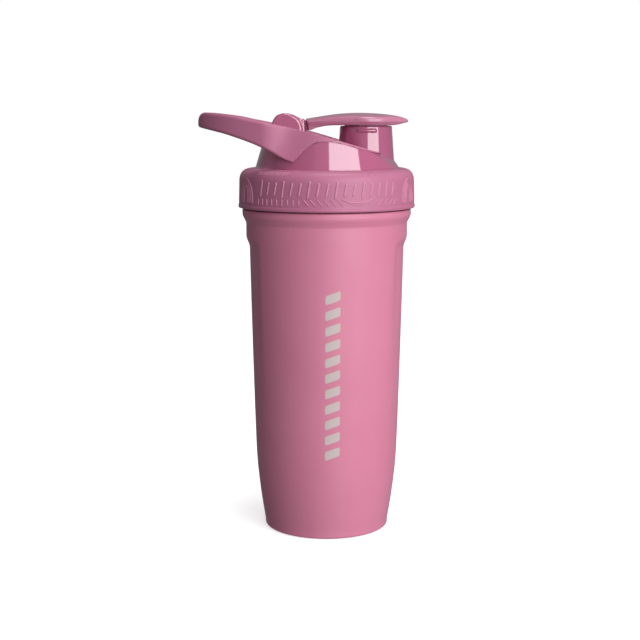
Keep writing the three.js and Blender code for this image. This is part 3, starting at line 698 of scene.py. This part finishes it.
def collar_relief():
    """Raised dashes, slanted strokes and arcs round the collar, repeated front and back."""
    points, faces = [], []

    def thin(*path):
        stroke(path, THIN_WIDTH, THIN_HEIGHT, points, faces)

    for side in (-90, 90):
        for k in range(9):  # upright dashes, lower left
            a = side - 48.6 + 3.86 * k
            thin((a, 1.1), (a, 3.9))
        for k in range(6):  # strokes that slant down to the right
            a = side - 13 + 4.3 * k
            thin((a - 1.7, 4.2), (a + 1.2, 1.4))
        for k in range(5):  # strokes that slant up to the right
            a = side + 31 + 4.3 * k
            thin((a - 1.7, 1.4), (a + 1.3, 4.1))
        a = side + ARC_MIDDLE
        for drop, reach in ((0.0, 10), (1.1, 7)):  # shallow arcs under the middle
            thin((a - reach, 4.4 - drop), (a - reach / 2, 3.1 - drop), (a, 2.7 - drop),
                 (a + reach / 2, 3.1 - drop), (a + reach, 4.4 - drop))
        for k in range(17):  # plain band of slanted bars round the middle
            a = side - 46 + 5.75 * k
            tall = 3.0 if k % 3 else 4.1
            stroke([(a - 0.75, BAND_MIDDLE - tall), (a + 0.75, BAND_MIDDLE + tall)],
                   BAND_WIDTH, BAND_HEIGHT, points, faces)
        for k in range(10):  # slanted ticks on the crown's left
            a = side - 50 + 2.6 * k
            stroke([(a - 1.1, TICK_LOW), (a + 0.6, TICK_HIGH)], TICK_WIDTH, TICK_HEIGHT, points, faces)
        for k in range(9):  # upright ticks on its right
            a = side + 28 + 2.6 * k
            stroke([(a, TICK_LOW), (a + 0.2, TICK_HIGH)], TICK_WIDTH, TICK_HEIGHT, points, faces)
    for side in (0, 180):  # nested arcs on the two flanks
        for reach in (4.5, 7.5, 10.5, 13.5):
            for end in (-1, 1):
                a = side + end * FLANK_ARCS
                thin((a - reach * 0.6, 1.6), (a - reach * 0.45, 6.0 + reach * 0.3),
                     (a + 0.4, 8.5 + reach * 0.45), (a + reach * 0.55, 6.0 + reach * 0.3),
                     (a + reach * 0.7, 1.6))
    add_mesh("collar_relief", points, faces, "lid", materials=[relief_plastic])


# ---------------------------------------------------------------- dome, spout and hinge ears

WALL_COS = 1 / math.hypot(1, DOME_LEAN)
RIM_COS = 1 / math.hypot(1, RIM_SLOPE)
DECK_COS = 1 / math.hypot(1, DECK_SLOPE)
DECK_MID = HINGE_Z - DECK_DROP + DECK_SLOPE * HINGE_X


NOTCH_HALF = 12.5  # half the width of the notch behind the cap's arm
NOTCH_FLOOR = 1.2  # above the deck
RIB_HALF = 4.6  # half the straight length of the ribs on the spout
RIB_DROP = 2.55  # from the spout's rim
RIB_RADIUS = 0.85
RIB_OUT = 0.25
PIN_BORE = 1.8
FLANGE_HALF = 0.85  # half the height of the flange under the collar's crown
FIELD_STEP = 0.6
FIELD_MARGIN = 1.2  # round the box that a field is sampled in


def wall_field(x, y, z):
    """Distance outside the dome's wall, upright below the crown and leaning in above it."""
    above = np.maximum(z - CROWN, 0)
    set_back = DOME_SET_BACK * ease(0, -36, x) * ease(-1, 1, z - CROWN)
    return (np.hypot(x, y) - DOME_RADIUS + DOME_LEAN * above + set_back) * WALL_COS


def rim_field(x, z):
    """Distance above the line of the dome's rim."""
    return (z - RIM_MID + RIM_SLOPE * x + RIM_SAG * np.maximum(-12 - x, 0)) * RIM_COS


def deck_field(x, z):
    """Distance above the sunken deck."""
    return (z - DECK_MID + DECK_SLOPE * x) * DECK_COS


def spout_field(x, y, z):
    """Distance outside the spout's cone."""
    return np.hypot(x - SPOUT_X, y) - SPOUT_RADIUS - SPOUT_LEAN * (SPOUT_RIM - z)


# The low bridge between an ear's round and the cap, seen from the side, about the hinge axis.
EAR_BRIDGE = np.array([(-4, -30), (-4, 7), (2, 7.4), (3.8, 6.7), (4.9, 6.2), (6, 5.8),
                       (7.1, 5.6), (8.1, 5.4), (8.6, 4.9), (8.7, 4.2), (8.7, -30)])
EAR_SWING = 10.15  # how far it may reach from the hinge axis, behind the cap's arm
EAR_SWING_REST = 2.0  # how much farther it may reach below the arm's path
EAR_INSET = 0.7  # of the bridge behind the plate's face
EAR_ROUND = 1.3
EAR_BRIDGE_ROUND = 0.8


def ear_field(u, y, w):
    """A hinge ear about the hinge axis: a round plate, with the bridge set back behind its face."""
    middle = (ear_low[1] + ear_high[1]) / 2
    half = (ear_high[1] - ear_low[1]) / 2
    off_u, off_w = u - EAR_CENTRE[0], w - EAR_CENTRE[1]
    disc = np.hypot(off_u, np.maximum(off_w, 0)) - EAR_RADIUS
    swing = np.hypot(u, w) - EAR_SWING - EAR_SWING_REST * ease(3.5, 0.5, w)
    disc = np.maximum(disc, swing)
    plate = round_cut(disc, np.abs(np.abs(y) - middle) - half, EAR_ROUND)
    thick = np.abs(np.abs(y) - middle + EAR_INSET) - half + EAR_INSET
    bridge = round_cut(outline_distance(u, w, EAR_BRIDGE), thick, EAR_BRIDGE_ROUND)
    return round_join(plate, bridge, EAR_BRIDGE_ROUND)


def dome_field(x, y, z):
    """The glossy moulding: shell, deck, spout with its ribs, hinge ears and flange."""
    wall, deck = wall_field(x, y, z), deck_field(x, z)
    edge = 0.9 + 6 * ease(22, 38, x)
    shell = round_cut(wall, rim_field(x, z), edge)
    scoop = round_cut(wall + RIM_WIDTH, -deck, 1.8)
    shell = round_cut(shell, -scoop, 0.7)
    notch = round_cut(np.maximum(x - HINGE_X, np.abs(y) - NOTCH_HALF), NOTCH_FLOOR - deck, 1.0)
    shell = round_cut(shell, -notch, 0.8)
    tube = spout_field(x, y, z)
    spout = np.maximum(round_cut(tube, z - SPOUT_RIM, 0.7), -deck - 1.8)
    shell = round_join(shell, spout, 0.8)
    off = tube - RIB_OUT
    along = np.maximum(np.abs(x - SPOUT_X) - RIB_HALF, 0)
    rib = np.sqrt(along ** 2 + off ** 2 + (z - SPOUT_RIM + RIB_DROP) ** 2) - RIB_RADIUS
    shell = round_join(shell, rib, 0.35)
    u, w = x - HINGE_X, z - HINGE_Z
    ear = ear_field(u, y, w)
    ear = np.maximum(ear, -deck - 1.5)
    shell = round_join(shell, ear, 1.3)
    cavity = round_cut(wall + DOME_WALL, deck + DOME_WALL, 1.5)
    shell = np.maximum(shell, -cavity)
    shell = round_cut(shell, -(tube + SPOUT_WALL), 0.6)
    blind = np.maximum(np.hypot(u, w) - PIN_BORE, np.abs(y) - pin_high[1] - 0.3)
    shell = np.maximum(shell, -blind)
    flange = np.abs(z - dome_low[2] - FLANGE_HALF) - FLANGE_HALF
    flange = np.maximum(np.hypot(x, y) - dome_high[1], flange)
    flange = np.maximum(flange, -(wall + DOME_WALL))
    shell = np.minimum(shell, flange)
    return np.maximum(shell, dome_low[2] - z)


def dome():
    reach = dome_high[1] + FIELD_MARGIN
    top = max(ear_high[2], SPOUT_RIM) + FIELD_MARGIN
    points, faces, normals = solid(dome_field, (-reach, -reach, dome_low[2] - FIELD_MARGIN),
                                   (reach, reach, top), FIELD_STEP)
    add_mesh("dome_and_spout", points, faces, "lid",
             ["lid_dome", "drink_spout", "hinge_ear_front", "hinge_ear_back"],
             [gloss_plastic], normals)


# ---------------------------------------------------------------- carry loop


def ellipse_field(x, y, left, right, half):
    """Distance outside an outline of two half ellipses, one to each side of the axis."""
    reach = np.where(x < 0, left, right)
    u, v = x / reach, y / half
    k = np.sqrt(u * u + v * v) + 1e-9
    return k * (k - 1) / np.sqrt((u / reach) ** 2 + (v / half) ** 2 + 1e-12)


LOOP_CORNER = 5.5  # radius of the tip's upper corner
LOOP_SKIN = 0.9  # how far its skin reaches into the dome's wall
LOOP_SINK = 6.5  # how far the arms move in to the dome's wall


def loop_outline():
    """The loop from the side: level tip, sloping arm, curved foot and a strip along the dome's rim."""
    top = CROWN + np.array([30.95, 30.6, 29.1, 27.4, 25.3, 23.0])
    top_x = [LOOP_TIP + LOOP_CORNER, -62, -50.4, -42.5, -32, -22.2]
    upper = curve_through(np.stack([top_x, top], 1), 6)
    rim_x = np.array([-9, 0, 12, 24, 30])
    rim = np.stack([rim_x, RIM_MID - RIM_SLOPE * rim_x + 0.4], 1)
    arc = curve_through([(30, RIM_MID - RIM_SLOPE * 30 - 0.1), (22.4, CROWN + 10.0), (13, CROWN + 12.6),
                         (4.5, CROWN + 14.6), (-0.9, CROWN + 15.2), (-6.6, CROWN + 14.2),
                         (-11.7, CROWN + 10.9), (-15.3, CROWN + 7.1), (-18.2, CROWN + 4.2)], 6)
    lower = curve_through([(-18.9, CROWN + 4.2), (-25.2, CROWN + 6.6), (-33.3, CROWN + 10.9),
                           (-41.9, CROWN + 14.6), (-54.9, CROWN + 18.9), (-65, CROWN + 21.3),
                           (LOOP_TIP + 0.8, CROWN + 22.8)], 6)
    low = top[0] - LOOP_CORNER
    corner = [(LOOP_TIP, CROWN + 23.6), (LOOP_TIP, low - 0.2)]
    corner += [(LOOP_TIP + LOOP_CORNER * (1 - math.cos(a)), low + LOOP_CORNER * math.sin(a))
               for a in np.linspace(0.15, 1.5, 7)]
    return np.vstack([upper, rim, arc, lower, corner])


LOOP_OUTLINE = loop_outline()


def loop_field(x, y, z):
    """The matt loop: a band whose arms melt into a thin skin on the dome's wall."""
    outline = outline_distance(x, z, LOOP_OUTLINE)
    sink = LOOP_SINK * ease(-36, -12, x)
    outer = ellipse_field(x, y, -LOOP_TIP, DOME_RADIUS, LOOP_HALF) + sink
    inner = ellipse_field(x, y, -LOOP_TIP - LOOP_WIDTH, DOME_RADIUS, LOOP_HALF - LOOP_WIDTH)
    inner = inner + sink * 0.6
    band = round_cut(outer, -inner, 1.2)
    wall = wall_field(x, y, z)
    skin = np.maximum(wall - 0.1, -wall - LOOP_SKIN)
    skin = np.maximum(skin, np.maximum(16 - np.abs(y), -30 - x))
    whole = round_join(band, skin, 7.0)
    arm = round_cut(whole, outline, 1.7 - 1.5 * ease(-30, -16, x))
    return np.maximum(arm, -(wall + LOOP_SKIN))


def carry_loop():
    half = LOOP_HALF + 2.5
    points, faces, normals = solid(loop_field, (LOOP_TIP - 1.3, -half, CROWN + 2),
                                   (33, half, LOOP_TOP + 1.3), FIELD_STEP)
    add_mesh("carry_loop", points, faces, "lid", ["carry_loop"],
             [matt_plastic], normals)


# ---------------------------------------------------------------- flip cap

# The lines of its top and its underside, seen from the side.
CAP_TOP = curve_through([(-14, CROWN + 27.1), (-8, CROWN + 28.1), (2.9, CROWN + 29.8),
                         (10.4, CROWN + 30.5), (17.7, CROWN + 30.75), (25.4, CROWN + 30.55),
                         (32.9, CROWN + 30.0), (40.2, CROWN + 28.9),
                         (cap_high[0] + 0.4, CROWN + 27.0), (cap_high[0] + 4, CROWN + 25.6)])
CAP_FOOT = curve_through([(-14, CROWN + 20.5), (-8.9, CROWN + 21.3), (-4.8, CROWN + 22.7),
                          (2.9, CAP_UNDER), (20, CAP_UNDER), (36, CAP_UNDER),
                          (43, CROWN + 25.0), (cap_high[0] + 4, CROWN + 26.6)])
CAP_CROWNING = 2.4
CAP_CHAMFER = 0.85  # slope of the bevel round its lower edge
CAP_HEEL = 10.6  # from the hinge axis to the end of the arm
ARM_HALF = 10.5
TAB_HALF = 6.4
TONGUE_LENGTH = 13.1
KNUCKLE_RADIUS = 4.8
STUD_RADIUS = 3


def cap_field(x, y, z):
    """The satin cap: disc, arm and tab with a crowned top, a knuckle and a stud."""
    disc = np.hypot(x - SPOUT_X, y) - CAP_RADIUS
    share = (x - HINGE_X) / (SPOUT_X - HINGE_X)
    arm = np.maximum((np.abs(y) - ARM_HALF - (CAP_RADIUS - ARM_HALF) * share) * 0.98,
                     np.maximum(x - SPOUT_X, HINGE_X - x))
    tab = round_cut(np.maximum(np.abs(y) - TAB_HALF, SPOUT_X - x), x - cap_high[0], 5.5)
    bevel = CAP_CHAMFER * np.clip(CAP_UNDER + 2 - z, 0, 2.6)
    plan = round_join(np.minimum(disc, arm), tab, 7) + bevel
    top = (z - np.interp(x, *CAP_TOP.T) + CAP_CROWNING * (y / CAP_RADIUS) ** 2) * 0.97
    foot = (np.interp(x, *CAP_FOOT.T) - z) * 0.98
    u, w = x - HINGE_X, z - HINGE_Z
    body = round_cut(plan, top, 1.5)
    body = round_cut(body, foot, 0.6)
    body = round_cut(body, CAP_HEEL - np.hypot(u, w), 0.7)
    room = np.maximum(np.hypot(x - SPOUT_X, y) - SPOUT_RADIUS + 0.2, z - CAP_UNDER - 2.5)
    body = round_cut(body, -room, 0.3)
    width = np.abs(y) - KNUCKLE_HALF
    upper = (w - 4.6 - 0.2 * u / TONGUE_LENGTH) * 0.999
    tongue = round_cut(np.maximum(upper, -2.6 + 2.2 * u / TONGUE_LENGTH - w), width, 0.5)
    tongue = np.maximum(tongue, np.maximum(-u, u - TONGUE_LENGTH))
    knuckle = round_cut(np.hypot(u, w) - KNUCKLE_RADIUS, width, 0.6)
    body = round_join(body, np.minimum(tongue, knuckle), 0.4)
    stud = np.maximum(np.hypot(x - SPOUT_X, y) - STUD_RADIUS, np.abs(z - CAP_UNDER - 1.0) - 1.9)
    body = np.minimum(body, stud)
    return np.maximum(body, PIN_BORE - np.hypot(u, w))


def flip_cap():
    points, faces, normals = solid(cap_field, (cap_low[0] - 1, -CAP_RADIUS - 1, cap_low[2] - 1.2),
                                   (cap_high[0] + 1.2, CAP_RADIUS + 1, cap_high[2] + 1.2), 0.45)
    add_mesh("flip_cap", points, faces, "cap", ["flip_cap"],
             [satin_plastic], normals)


# ---------------------------------------------------------------- parts inside the lid


STRAINER_WALL = 1.2
HOLE_RADIUS = 2.2
HOLE_SPACING = 7.4
HOLE_RINGS = 5  # the first is the single hole in the middle


def strainer_field(x, y, z):
    """A shallow basket with rings of round holes in its floor."""
    r = np.hypot(x, y)
    floor, top = strainer_low[2], strainer_high[2]
    outer = round_cut(r - NECK_RADIUS + 1.6, floor - z, 2.2)
    inner = round_cut(r - NECK_RADIUS + 2.8, floor + STRAINER_WALL - z, 1.4)
    basket = np.maximum(round_cut(outer, -inner, 0.3), z - top)
    flange = round_cut(np.maximum(r - strainer_high[0], NECK_RADIUS - 2.8 - r),
                       np.abs(z - top + 0.55) - 0.55, 0.25)
    basket = np.minimum(basket, flange)
    for ring in range(HOLE_RINGS):
        count = max(1, 6 * ring)
        angle = np.arctan2(y, x)
        step = 2 * math.pi / count
        folded = np.mod(angle + step / 2, step) - step / 2
        hole = np.hypot(r * np.cos(folded) - HOLE_SPACING * ring, r * np.sin(folded)) - HOLE_RADIUS
        basket = round_cut(basket, -np.maximum(hole, z - floor - 2), 0.35)
    return basket


def strainer():
    reach = strainer_high[0] + 1.2
    points, faces, normals = solid(strainer_field, (-reach, -reach, strainer_low[2] - 1.1),
                                   (reach, reach, strainer_high[2] + 1.1), 0.5)
    add_mesh("strainer", points, faces, "mixing_strainer", ["strainer"],
             [strainer_plastic], normals)


GASKET_WIDTH = 4.4


def gasket():
    inner, outer = gasket_high[0] - GASKET_WIDTH, gasket_high[0]
    low, high = gasket_low[2], gasket_high[2]
    middle = (low + high) / 2
    profile = rounded([(inner + 1, low, 0), (outer - 0.4, low, 0.3), (outer, middle, 0.3),
                       (outer - 0.4, high, 0.3), (inner + 0.4, high, 0.3), (inner, middle, 0.3),
                       (inner + 0.4, low, 0.3), (inner + 0.9, low, 0)], 4)
    points, faces = turned(profile, 192, ring=True)
    add_mesh("gasket", points, faces, "gasket", ["lid_gasket"], [silicone])


SEAL_BORE = 3.3  # round the cap's stud
SEAL_LIP = 8.5  # inner radius of the plug's hollow foot


def cap_seal():
    plug = SPOUT_RADIUS - SPOUT_WALL - 0.5
    low, high = seal_low[2], seal_high[2]
    rim = CAP_UNDER + 0.3
    lid = SPOUT_RADIUS - 0.5
    profile = rounded([(SEAL_BORE, high - 1, 0), (SEAL_BORE, low + 2.2, 0.4),
                       (SEAL_LIP, low + 2.2, 0.8), (SEAL_LIP, low, 0.4), (plug, low, 0.9),
                       (plug + 0.25, low + 1.5, 0.3), (plug - 0.1, low + 2.1, 0.3),
                       (plug, rim, 0.3), (lid, rim, 0.3), (lid, high, 0.4),
                       (SEAL_BORE, high, 0.2), (SEAL_BORE, high - 0.9, 0)], 5)
    points, faces = turned(profile, 144, centre=(SPOUT_X, 0.0), ring=True)
    add_mesh("cap_seal", points, faces, "cap", ["cap_seal"], [silicone])


PIN_EDGE = 0.35


def hinge_pin():
    half = pin_high[1]
    radius = (pin_high[2] - pin_low[2]) / 2
    profile = rounded([(AXIS, -half, 0), (radius, -half, PIN_EDGE), (radius, half, PIN_EDGE),
                       (AXIS, half, 0)], 5)
    points, faces = turned(profile, 48)
    points = np.stack([points[:, 0] + HINGE_X, points[:, 2], HINGE_Z - points[:, 1]], 1)
    add_mesh("hinge_pin", points, faces, "lid", ["hinge_pin"], [pin_steel])


cup()
printed_marks()
collar()
collar_relief()
dome()
carry_loop()
flip_cap()
strainer()
gasket()
cap_seal()
hinge_pin()

# ---------------------------------------------------------------- studio


def area_light(name, place, target, size, power):
    """A soft box at a place in metres, facing a target."""
    data = bpy.data.lights.new(name, "AREA")
    data.shape = "RECTANGLE"
    data.size, data.size_y = size
    data.energy = power
    light = bpy.data.objects.new(name, data)
    light.location = place
    light.rotation_mode = "QUATERNION"
    light.rotation_quaternion = (Vector(target) - Vector(place)).to_track_quat("-Z", "Y")
    bpy.context.scene.collection.objects.link(light)
    return light


FLOOR_RADIUS = 3  # metres, as is all of the studio
FLOOR_LEVEL = -0.0004
FLOOR_SIDES = 64
FLOOR_GLOW = 0.62


def floor():
    """A plain pale floor under the bottle."""
    mesh = bpy.data.meshes.new("floor")
    angles = np.linspace(0, 2 * math.pi, FLOOR_SIDES + 1)[:-1]
    ring = [(FLOOR_RADIUS * math.cos(a), FLOOR_RADIUS * math.sin(a), FLOOR_LEVEL) for a in angles]
    mesh.from_pydata(ring, [], [list(range(FLOOR_SIDES))])
    n = Nodes("floor", Roughness=0.6)
    pale = n.mixed(n.ranged(n.noise(3, 2), 0, 1), (0.97, 0.97, 0.97), (0.98, 0.98, 0.98))
    n.link(pale, n.shader.inputs["Base Color"])
    n.shader.inputs["Emission Color"].default_value = (1, 1, 1, 1)
    n.shader.inputs["Emission Strength"].default_value = FLOOR_GLOW
    mesh.materials.append(n.material)
    plane = bpy.data.objects.new("floor", mesh)
    bpy.context.scene.collection.objects.link(plane)
    plane.visible_diffuse = False  # its bounce would flatten the shading of the bottle
    plane.visible_glossy = False


# Brightness round the horizon, in degrees to the right of the camera's side.
STUDIO = [(-180, 0.26), (-130, 0.14), (-60, 0.14), (-26, 0.2), (-23, 0.32),
          (60, 0.28), (110, 0.18), (180, 0.26)]


def studio_world():
    """White to the camera, and to all else a studio, bright to the right and dark to the left."""
    world = bpy.data.worlds.new("studio")
    bpy.context.scene.world = world
    world.use_nodes = True
    tree = world.node_tree
    tree.nodes.clear()
    place = tree.nodes.new("ShaderNodeTexCoord")
    split = tree.nodes.new("ShaderNodeSeparateXYZ")
    tree.links.new(place.outputs["Generated"], split.inputs[0])
    back = tree.nodes.new("ShaderNodeMath")
    back.operation = "MULTIPLY"
    back.inputs[1].default_value = -1
    tree.links.new(split.outputs["Y"], back.inputs[0])
    azimuth = tree.nodes.new("ShaderNodeMath")
    azimuth.operation = "ARCTAN2"
    tree.links.new(split.outputs["X"], azimuth.inputs[0])
    tree.links.new(back.outputs[0], azimuth.inputs[1])
    turn = tree.nodes.new("ShaderNodeMapRange")
    turn.inputs["From Min"].default_value, turn.inputs["From Max"].default_value = -math.pi, math.pi
    tree.links.new(azimuth.outputs[0], turn.inputs["Value"])
    ramp = tree.nodes.new("ShaderNodeValToRGB")
    stops = ramp.color_ramp.elements
    while len(stops) > 1:
        stops.remove(stops[-1])
    for i, (degrees, bright) in enumerate(STUDIO):
        stop = stops[0] if i == 0 else stops.new((degrees + 180) / 360)
        stop.position = (degrees + 180) / 360
        stop.color = (bright, bright, bright, 1)
    tree.links.new(turn.outputs["Result"], ramp.inputs["Fac"])
    around = tree.nodes.new("ShaderNodeBackground")
    tree.links.new(ramp.outputs["Color"], around.inputs["Color"])
    seen = tree.nodes.new("ShaderNodeBackground")
    seen.inputs["Color"].default_value = (1, 1, 1, 1)
    path = tree.nodes.new("ShaderNodeLightPath")
    mix = tree.nodes.new("ShaderNodeMixShader")
    tree.links.new(path.outputs["Is Camera Ray"], mix.inputs[0])
    tree.links.new(around.outputs[0], mix.inputs[1])
    tree.links.new(seen.outputs[0], mix.inputs[2])
    out = tree.nodes.new("ShaderNodeOutputWorld")
    tree.links.new(mix.outputs[0], out.inputs["Surface"])


CAMERA_LENS = 75.375
CAMERA_PLACE = (-0.00376, -0.7634, 0.2353)
CAMERA_DROP = 8.614  # degrees below level

floor()
studio_world()
area_light("key", (0.80, -1.36, 0.56), (0, 0, 0.13), (1.42, 1.6), 25.5)
fill = area_light("fill", (1.5, -0.5, 0.3), (0, 0, 0.12), (0.9, 1.2), 5.5)
fill.visible_glossy = False
sun_data = bpy.data.lights.new("overhead", "SUN")
sun_data.energy = 1.05
sun_data.angle = math.radians(24)
sun = bpy.data.objects.new("overhead", sun_data)
sun.rotation_euler = (math.radians(4), math.radians(6), 0)
bpy.context.scene.collection.objects.link(sun)

scene = bpy.context.scene
scene.view_settings.view_transform = "Standard"
camera_data = bpy.data.cameras.new("camera")
camera_data.sensor_width = 36
camera_data.lens = CAMERA_LENS
camera_data.clip_start, camera_data.clip_end = 0.05, 20
camera = bpy.data.objects.new("camera", camera_data)
camera.location = CAMERA_PLACE
camera.rotation_euler = (math.radians(90 - CAMERA_DROP), 0, 0)
scene.collection.objects.link(camera)
scene.camera = camera
